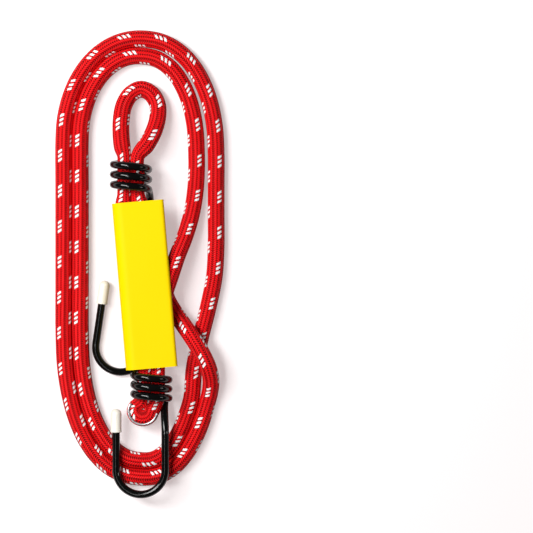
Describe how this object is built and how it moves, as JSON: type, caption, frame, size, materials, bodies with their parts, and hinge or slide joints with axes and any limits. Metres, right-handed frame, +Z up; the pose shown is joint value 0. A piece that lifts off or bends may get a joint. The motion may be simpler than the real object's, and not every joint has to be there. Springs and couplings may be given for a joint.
{
  "type": "bungee cord",
  "caption": "Braided elastic cord stowed in an oval hank, with a coiled wire hook gripping each looped end, capped hook tips and a folded tag.",
  "frame": {"origin": "under the middle of the stowed hank, on the plane it lies on", "axes": "+X across the hank, +Y along it towards the end with the open cord loop, +Z up from the plane it lies on"},
  "size_m": [0.0874, 0.242, 0.0221],
  "materials": {
    "sheath": "woven sheath with white tracer flecks",
    "core": "matte",
    "wire": "gloss black coating",
    "tip": "satin ivory",
    "tag": "smooth yellow",
    "steel": "bright"
  },
  "bodies": {
    "cord": {"cord_upper_end": "sheath", "cord_hank": "sheath", "cord_lower_end": "sheath", "cord_core": "core", "stop_ring": "steel", "tag": "tag"},
    "upper_hook_body": {"upper_hook": "wire", "upper_hook_tip": "tip"},
    "lower_hook_body": {"lower_hook": "wire", "lower_hook_tip": "tip"}
  },
  "joints": [
    {"name": "upper_hook_turn", "type": "hinge", "parent": "cord", "child": "upper_hook_body", "pos_m": [-0.0042, 0.0458, 0.01105], "axis": [0, 1, 0], "range_deg": [0, 20]},
    {"name": "lower_hook_turn", "type": "hinge", "parent": "cord", "child": "lower_hook_body", "pos_m": [0.0063, -0.0628, 0.01105], "axis": [0, 1, 0], "range_deg": [0, 15]}
  ]
}
